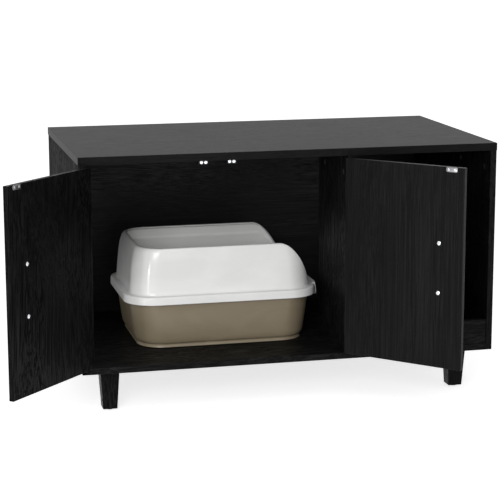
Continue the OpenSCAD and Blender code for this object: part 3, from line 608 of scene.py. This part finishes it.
def tray_shell(finishes):
    """The tray's wall follows a profile from the middle of its foot, up outside, over the lip
    and down inside: each row is (how far in from the outline, height). A row's outline is the
    foot's mixed with the head's by its share of the height, less the inset, and its corner
    radius shrinks by the inset."""
    foot = [(40, 0.6), (12, 0.6), (8.6, 0), (6.8, 0.1), (5.4, 0.8), (4.0, 1.7), (4.6, 3.2),
            (7.0, 7.8), (7.8, 8.4), (7.4, 9.2), (5.6, 10.2), (3.2, 11.6), (1.9, 14.2), (1.0, 17.6),
            (0.5, 22), (0.3, 28)]
    outside = straight(foot[-1], (0, 120.5), 0.08, 12)
    lip = [(-1.0, 122.2), (-3.0, 123.4), (-7.4, 124.0), (-8.0, 124.6), (-8.0, 126.2),
           (-7.2, 127.0), (0.6, 127.0), (2.2, 126.6), (2.8, 125.4)]
    inside = straight((3.1, 124), (3.1, 22), 0.05, 12)
    floor = [(4.4, 12.4), (8.0, 9.0), (9.8, 7.0), (10.8, 4.8), (14, 3.4), (20, 2.8), (60, 2.8),
             (100, 2.9)]
    inset, z = np.array(foot + outside + lip + inside + floor).T[:, :, None]
    half = TRAY_FOOT + (TRAY_HEAD - TRAY_FOOT) * np.clip(z / TRAY_H, 0, 1) - inset
    x, y = outline(half[:, :1], half[:, 1:], np.clip(TRAY_CORNER - inset, LEAST_CORNER, None))
    points, faces = closed_loft(np.stack([x, y, np.broadcast_to(z, x.shape)], -1) * MM)
    piece("litter_tray_shell", [(placed(points, TRAY_PLACE), faces)], finishes["tray"],
          "litter_tray", ["litter_tray"], smooth_deg=40)


GUARD_FLANGE_Z = 130.1
GUARD_FOOT, GUARD_LEAN = np.array([222.0, 158.0]), np.array([20.0, 11.0])
GUARD_CORNER = 62.0
GUARD_WALL_H, GUARD_ENTRY_H = 113.0, 4.0
SHOULDER_RUN, SHOULDER_POWER = 85.0, 0.82
# The fillet at the wall's foot and the roll at its edge shrink where the wall is this low,
# down to the least share of their size
FILLET_H, ROLL_H, LOW_WALL_H, LEAST_SHARE = 2.8, 3.6, 16.0, 0.2
# How much further the skirt stands out at the tray's ends, and the outset where that begins
END_FLANGE, END_FLANGE_START = 4.0, 4.2
FLAP_X, FLAP_HALF_L, FLAP_STEPS = 237.0, 95.0, 41
# The shares of its reach and of its drop that the flap loses at its strip's two ends
FLAP_REACH_LOSS, FLAP_DROP_LOSS = 0.55, 0.75
FOOT, OUTER, ROLL, INNER = range(4)


def guard_top(x):
    """Height of the guard's edge above its flange: full up to the shoulder, then a falling arch,
    (1 - s squared) to a power, for s going from 0 to 1 along the run, to the low way in."""
    end, run = GUARD_FOOT[0] - WALL, SHOULDER_RUN - WALL
    s = np.clip(1 - (end - x) / run, 0, 1)
    return GUARD_ENTRY_H + (GUARD_WALL_H - GUARD_ENTRY_H) * (1 - s * s) ** SHOULDER_POWER


def guard_lean(share):
    """How much of its lean-in the wall has reached at a share of its height: two fifths of a
    straight lean and three fifths of a superellipse that curls in at the top."""
    share = np.clip(share, 0, 1)
    return 0.4 * share + 0.6 * (1 - np.sqrt(np.clip(1 - share ** 4, 0, 1)))


def guard_outline(outset, z):
    """x and y of the guard at an outset from its wall: the foot's outline, drawn in by the lean
    at that height, with the skirt's further reach at the two ends."""
    lean = guard_lean(z / GUARD_WALL_H)
    reach = np.clip(outset - END_FLANGE_START, 0, END_FLANGE)
    a = GUARD_FOOT[0] - GUARD_LEAN[0] * lean + outset + reach
    b = GUARD_FOOT[1] - GUARD_LEAN[1] * lean + outset
    return outline(a, b, GUARD_CORNER + outset)


def guard_shell(finishes):
    """The guard is one closed loop of section carried round the tray's outline: up the outer
    wall, over its rolled edge, down the inner wall, out under the flange and round the skirt.
    Each section point is (kind, outset, level): the foot, the outer wall from the foot's fillet
    up, the rolled edge or the inner wall. A wall point's level is a share of the wall's own
    height there, which falls along the shoulder; the other levels are heights above the flange
    and above the wall's edge, and shrink with the fillet and the roll."""
    outer = [(OUTER, 0.0, t) for t in np.linspace(0.04, 0.985, 26)]
    rolled = [(ROLL, out, level) for out, level in (
        (-0.3, -0.9), (-0.9, -0.2), (-1.7, 0.0), (-4.6, -0.3), (-7.6, -0.7), (-8.3, -1.3),
        (-8.5, -2.4), (-7.8, -3.6), (-5.4, -3.7))]
    inner = [(INNER, -WALL - 0.2, t) for t in np.linspace(0.98, 0.80, 8)]
    ledge = [(INNER, -WALL - 0.6, 0.795), (INNER, -WALL - 1.6, 0.785),
             (INNER, -WALL - 3.4, 0.772), (INNER, -WALL - 4.0, 0.755)]
    ledge += [(INNER, -WALL - 3.6, t) for t in np.linspace(0.72, 0.06, 14)]
    foot = [(FOOT, out, level) for out, level in (
        (-6.4, 0.0), (-6.2, -2.4), (-5.4, -2.8), (7.0, -2.8), (8.0, -3.4), (8.2, -4.6),
        (8.2, -19.0), (8.6, -19.8), (9.6, -20.0), (10.7, -19.7), (11.0, -19.0), (11.0, -18.0),
        (10.8, -16.6), (10.8, -4.4), (10.5, -2.6), (9.6, -1.0), (8.2, -0.2), (6.4, 0.0),
        (4.2, 0.0), (2.4, 0.4), (1.1, 1.4), (0.4, 2.8))]
    kind, outset, level = np.array(outer + rolled + inner + ledge + foot).T[:, :, None]
    # The wall leans in as it rises, so its edge's height and place settle together
    edge = guard_top(guard_outline(0.0, 0.0)[0])
    for _ in range(8):
        edge = guard_top(guard_outline(0.0, edge)[0])
    small = np.clip(edge / LOW_WALL_H, LEAST_SHARE, 1)
    fillet = FILLET_H * small
    z = np.select([kind == OUTER, kind == ROLL, kind == INNER],
                  [fillet + level * (edge - fillet), edge + level * small,
                   level * (edge - ROLL_H * small)],
                  np.where(level > 0, level * small, level))
    x, y = guard_outline(outset, np.maximum(z, 0))
    points = np.stack([x, y, z + GUARD_FLANGE_Z], -1) * MM
    faces = grid_faces(*points.shape[:2], wrap_rows=True).tolist()
    parts = [(placed(points.reshape(-1, 3), TRAY_PLACE), faces), finger_flap()]
    piece("spray_guard_shell", parts, finishes["guard"], "spray_guard",
          ["spray_guard"], smooth_deg=50)


def finger_flap():
    """A flap at the guard's right end: a bent strip's closed section, swept along the end.
    Towards the strip's two ends its reach shrinks with the eighth power of the way out, and the
    drop of what hangs below the flange with the tenth power."""
    section = np.array([(-1.6, -2.8), (6.4, -2.8), (7.2, -3.6), (10.6, -35.2), (11.4, -36.0),
                        (13.2, -36.0), (13.9, -35.0), (10.2, -1.6), (9.2, -0.4), (7.6, 0.0),
                        (-1.6, 0.0)])
    out, level = section.T[:, None, :]
    t = np.linspace(-1, 1, FLAP_STEPS)[:, None]
    x = FLAP_X + out * np.where(out > 0, 1 - FLAP_REACH_LOSS * t ** 8, 1)
    z = GUARD_FLANGE_Z + level * np.where(level < -4, 1 - FLAP_DROP_LOSS * t ** 10, 1)
    y = np.broadcast_to(FLAP_HALF_L * t, x.shape)
    points, faces = closed_loft(np.stack([x, y, z], -1) * MM)
    return placed(points, TRAY_PLACE), faces


# Fittings

BAR_SIDES, POST_SIDES, MAGNET_SIDES, GLIDE_SIDES = 40, 32, 40, 48
# Shares of a screw head's radius: its cross, its innermost ring and its flat underside
CROSS_HALF_W, CROSS_REACH, CROSS_TAPER, HEAD_MIDDLE, HEAD_UNDER = 0.16, 0.72, 0.2, 0.02, 0.97
# Shares of a screw head's height: the cross's depth, the dome's fall and the rim
CROSS_DEPTH, DOME_FALL, HEAD_RIM = 0.55, 0.42, 0.25
# The pull's domed ends: the power of their curve, their length and the radius of their tip
DOME_POWER, DOME_L, TIP_R = 0.8, 0.9 * PULL_BAR_R, 1e-6
# Profiles of radius and height: a magnet's face, and a glide from its tread to its nail's tip
MAGNET_PROFILE = np.array([(0.2, 0.12), (3.2, 0.12), (3.75, 0), (4, -0.3), (4, -1.2)]) * MM
GLIDE_PROFILE = np.array([(0.5, 0), (8.6, 0), (10.2, 0.4), (11, 1.4), (11, 2.4), (10.5, 3),
                          (1.25, 3), (1.25, 18)]) * MM


def cross_head(radius, height, shank_r, shank_l, sides=64, rows=16):
    """A domed screw head with a cross recess, over a plain shank. The dome falls with the fourth
    power of the distance from its middle. The recess sinks by a smooth step across each arm of
    the cross, tapering to nothing at the arms' ends."""
    a = np.arange(sides) * 2 * math.pi / sides
    r = np.linspace(HEAD_MIDDLE, 1.0, rows)[:, None]
    x, y = r * np.cos(a), r * np.sin(a)

    def arm(across, along):
        side = np.clip(1 - np.abs(across) / CROSS_HALF_W, 0, 1)
        end = np.clip((CROSS_REACH - np.abs(along)) / CROSS_TAPER, 0, 1)
        return (side * side * (3 - 2 * side)) * end

    sunk = np.maximum(arm(x, y), arm(y, x)) * CROSS_DEPTH * height
    z = height * (1 - DOME_FALL * r ** 4) - sunk
    top = np.stack([x * radius, y * radius, z], -1)
    under = lathe_rings([(radius, HEAD_RIM * height), (radius * HEAD_UNDER, 0), (shank_r, 0),
                         (shank_r, -shank_l)], sides)
    return closed_loft(np.concatenate([top, under]))


def screw_pair(place, step, **sizes):
    """Two screws with their heads on a door's inner face, half a step each way from a place."""
    points, faces = cross_head(**sizes)
    return [(placed(points, np.add(place, np.multiply(sign / 2, step)), TO_REAR), faces)
            for sign in (-1, 1)]


def pull_parts():
    """A bar with domed ends on two flared posts, in the door's axes: lathe profiles about the
    bar's length and about each post. A dome's radius is the bar's times a power of the sine of
    its angle; each post's row is (share of the post's radius, height over the door)."""
    t = np.linspace(0, math.pi / 2, 7)
    end = np.stack([PULL_BAR_R * np.sin(t) ** DOME_POWER + TIP_R,
                    DOME_L * (1 - np.cos(t)) - PULL_BAR_L / 2], 1)
    bar = np.concatenate([end, end[::-1] * (1, -1)])
    points, faces = closed_loft(lathe_rings(bar, BAR_SIDES))
    bar_y = AXIS_OUT - PULL_REACH - PULL_BAR_R
    parts = [(placed(points, (PULL_X, bar_y, PULL_Z)), faces)]
    post = np.array([(1.45, 0), (1.45, 0.7 * MM), (1.3, 1.4 * MM), (1.05, 2.6 * MM),
                     (0.96, 5 * MM), (0.96, PULL_REACH - 3 * MM), (1, PULL_REACH + 1 * MM)])
    points, faces = closed_loft(lathe_rings(post * (PULL_POST_R, 1), POST_SIDES))
    for sign in (-1, 1):
        place = (PULL_X, AXIS_OUT, PULL_Z + sign * PULL_PITCH / 2)
        parts.append((placed(points, place, TO_FRONT), faces))
    return parts


def pad(width, height, depth, corner, edge, steps=8, rows=5):
    """A flat plate with round corners and eased rims, face up: outlines of a rounded rectangle
    stacked over its thickness, drawn in by a quarter circle at each rim. A hair past its own
    angle, each step takes the corner that lies ahead of it."""
    a = np.radians(np.arange(4 * steps) * 90 / steps)
    past = a + 1e-6
    cx = np.where(np.cos(past) > 0, 1, -1) * (width / 2 - corner)
    cy = np.where(np.sin(past) > 0, 1, -1) * (height / 2 - corner)
    t = np.linspace(0, math.pi / 2, rows)
    inset = np.concatenate([edge * (1 - np.sin(t)), edge * (1 - np.cos(t))])
    level = np.concatenate([edge * (1 - np.cos(t)), depth - edge * (1 - np.sin(t))])
    scale = corner - inset[:, None]
    rings = np.stack([cx + scale * np.cos(a), cy + scale * np.sin(a),
                      np.broadcast_to(level[:, None], (2 * rows, 4 * steps))], -1)
    return closed_loft(rings)


def make_door_fittings(finishes):
    """Pulls, their screws, strike plates and their screws, made once in a door's own axes and
    laid on both doors. Each row is a name's end, its parts, finish and slot, and its node's end."""
    inner = AXIS_OUT + DOOR_T
    plate, faces = pad(STRIKE_W, STRIKE_H, STRIKE_T, STRIKE_CORNER, STRIKE_RIM)
    strike = [(placed(plate, (STRIKE_X, inner, STRIKE_Z), TO_REAR), faces)]
    strike_screw = (STRIKE_X, inner + STRIKE_T - STRIKE_SCREW_SUNK, STRIKE_Z)
    pull_screws = screw_pair((PULL_X, inner, PULL_Z), (0, 0, PULL_PITCH), **PULL_SCREW)
    strike_screws = screw_pair(strike_screw, (STRIKE_PITCH, 0, 0), **STRIKE_SCREW)
    rows = (("_bar_pull", pull_parts(), "pull", "black_pull_metal", "_pull"),
            ("_pull_screw_pair", pull_screws, "magnet", "zinc_fitting", "_pull_screws"),
            ("_strike_plate", strike, "strike", "zinc_fitting", "_strike"),
            ("_strike_screw_pair", strike_screws, "magnet", "zinc_fitting", "_strike_screws"))
    for door in ("left", "right"):
        origin, axes = door_axes(JOINTS[door + "_door_swing"])
        for name, parts, finish, slot, node in rows:
            turned = [(placed(points, origin, axes), faces) for points, faces in parts]
            piece(door + name, turned, finishes[finish], door + "_door", [door + node])


def make_catches(finishes):
    """Each catch is an eased block under the top board. Its magnets are lathed discs with a
    rounded rim that stand a little out of its face."""
    depth, height = CATCH_HIGH.y - CATCH_LOW.y, CATCH_HIGH.z - CATCH_LOW.z
    z = CATCH_HIGH.z - height / 2
    block, block_faces = pad(CATCH_W, height, depth - CATCH_BACK, CATCH_CORNER, CATCH_RIM)
    disc, disc_faces = closed_loft(lathe_rings(MAGNET_PROFILE, MAGNET_SIDES))
    blocks, discs = [], []
    for x in (CATCH_LOW.x + CATCH_W / 2, CATCH_HIGH.x - CATCH_W / 2):
        blocks.append((placed(block, (x, CATCH_HIGH.y, z), TO_FRONT), block_faces))
        for sign in (-1, 1):
            place = (x + sign * MAGNET_PITCH / 2, CATCH_LOW.y + MAGNET_BACK, z)
            discs.append((placed(disc, place, TO_FRONT), disc_faces))
    piece("catch_blocks", blocks, finishes["hinge"], "cabinet",
          ["catch_bodies"])
    piece("catch_magnet_discs", discs, finishes["magnet"], "cabinet",
          ["catch_magnets"])


def make_glides(finishes):
    """Each glide is a lathed foot with a rounded tread and a nail up into its leg."""
    points, faces = closed_loft(lathe_rings(GLIDE_PROFILE, GLIDE_SIDES))
    parts = [(placed(points, (sx * LEG_X, sy * LEG_Y, 0)), faces)
             for sx in (-1, 1) for sy in (-1, 1)]
    piece("floor_glide_feet", parts, finishes["glide"], "cabinet",
          ["floor_glides"])


def dress_fittings(finishes):
    """The other fittings keep their CAD shape and get their finish."""
    for finish, nodes in {
        "zinc": ("leg_bolts", "leg_inserts", "top_cam_bolts", "bottom_cam_bolts", "long_screws",
                 "back_nails", "catch_screws"),
        "cam": ("top_cams", "bottom_cams"),
        "dowel": ("dowels",),
        "hinge": ("hinge_pins", "hinge_frame_screws", "left_hinge_frame_leaves",
                  "right_hinge_frame_leaves", "left_hinge_door_leaves",
                  "right_hinge_door_leaves", "left_hinge_door_screws",
                  "right_hinge_door_screws"),
    }.items():
        for node in nodes:
            slots = NODES[node].data.materials
            slots.clear()
            slots.append(finishes[finish])


# Floor and light

FLOOR_REACH, FLOOR_GREY = 60.0, 0.82
# What the floor adds for the camera and reflections, and how much the world lights the rest
FLOOR_GLOW, WORLD_LEVEL = 0.72, 0.46
# Each lamp's place, aim, width and height, and power in watts
LAMPS = {
    "front box": ((-1.7, -3.9, 1.6), (-0.2, 0.0, 0.3), (1.8, 1.4), 77),
    "high front box": ((-0.4, -2.6, 2.6), (-0.1, 0.0, 0.3), (2.0, 1.2), 12),
    "left strip": ((-2.05, -2.1, 0.24), (-0.3, -0.1, 0.3), (0.07, 0.22), 7),
    "bay fill": ((-0.478, -0.05, 0.22), (0.0, -0.05, 0.19), (0.44, 0.19), 0.10),
}


def seen_directly(kit):
    """1 for the camera's own rays and for those by way of a mirror or glass, else 0."""
    path = kit.add("ShaderNodeLightPath").outputs
    direct = kit.maths("MAXIMUM", path["Is Camera Ray"], path["Is Glossy Ray"])
    return kit.maths("MAXIMUM", direct, path["Is Transmission Ray"])


def set_stage():
    """A pale floor: its own shading, with the object's soft shadow, under a white that only
    the camera and reflections see."""
    mesh = bpy.data.meshes.new("floor")
    corners = [(x * FLOOR_REACH, y * FLOOR_REACH, 0)
               for x, y in ((-1, -1), (1, -1), (1, 1), (-1, 1))]
    mesh.from_pydata(corners, [], [(0, 1, 2, 3)])
    floor = in_scene("floor", mesh)
    material = bpy.data.materials.new("pale floor")
    material.use_nodes = True
    kit = Nodes(material.node_tree)
    shader = material.node_tree.nodes["Principled BSDF"]
    shader.inputs["Base Color"].default_value = grey(FLOOR_GREY)
    shader.inputs["Roughness"].default_value = 0.9
    shader.inputs["Specular IOR Level"].default_value = 0.1
    glow = kit.maths("MULTIPLY", seen_directly(kit), FLOOR_GLOW)
    white = kit.add("ShaderNodeEmission", Color=(1, 1, 1, 1), Strength=glow)
    both = kit.add("ShaderNodeAddShader")
    kit.put(both, "0", shader.outputs[0])
    kit.put(both, "1", white.outputs[0])
    kit.put(material.node_tree.nodes["Material Output"], "Surface", both.outputs[0])
    mesh.materials.append(material)


def soft_lamp(name, place, aim, size, power):
    """A soft box: a rectangular lamp that faces its aim and isn't seen by the camera."""
    data = bpy.data.lights.new(name, "AREA")
    data.shape, data.size, data.size_y = "RECTANGLE", size[0], size[1]
    data.energy = power
    lamp = in_scene(name, data)
    lamp.location = place
    lamp.visible_camera = False
    lamp.rotation_mode = "QUATERNION"
    lamp.rotation_quaternion = (Vector(aim) - Vector(place)).to_track_quat("-Z", "Y")


def set_light():
    """A wide front box left of the middle for the open bay, one high above it, a narrow strip
    for the guard's highlight, a faint fill beside the tray in the bay, and an even world that
    shows white to the camera."""
    for name, lamp in LAMPS.items():
        soft_lamp(name, *lamp)
    world = bpy.data.worlds.new("studio")
    bpy.context.scene.world = world
    world.use_nodes = True
    kit = Nodes(world.node_tree)
    sky = world.node_tree.nodes["Background"]
    level = kit.spread(seen_directly(kit), 0.0, 1.0, WORLD_LEVEL, 1.0, smooth=False)
    kit.put(sky, "Strength", level)
    sky.inputs["Color"].default_value = (1, 1, 1, 1)
    bpy.context.scene.view_settings.view_transform = "Standard"


set_camera()
FINISHES = all_finishes()
make_boards(FINISHES)
tray_shell(FINISHES)
guard_shell(FINISHES)
make_door_fittings(FINISHES)
make_catches(FINISHES)
make_glides(FINISHES)
dress_fittings(FINISHES)
set_stage()
set_light()
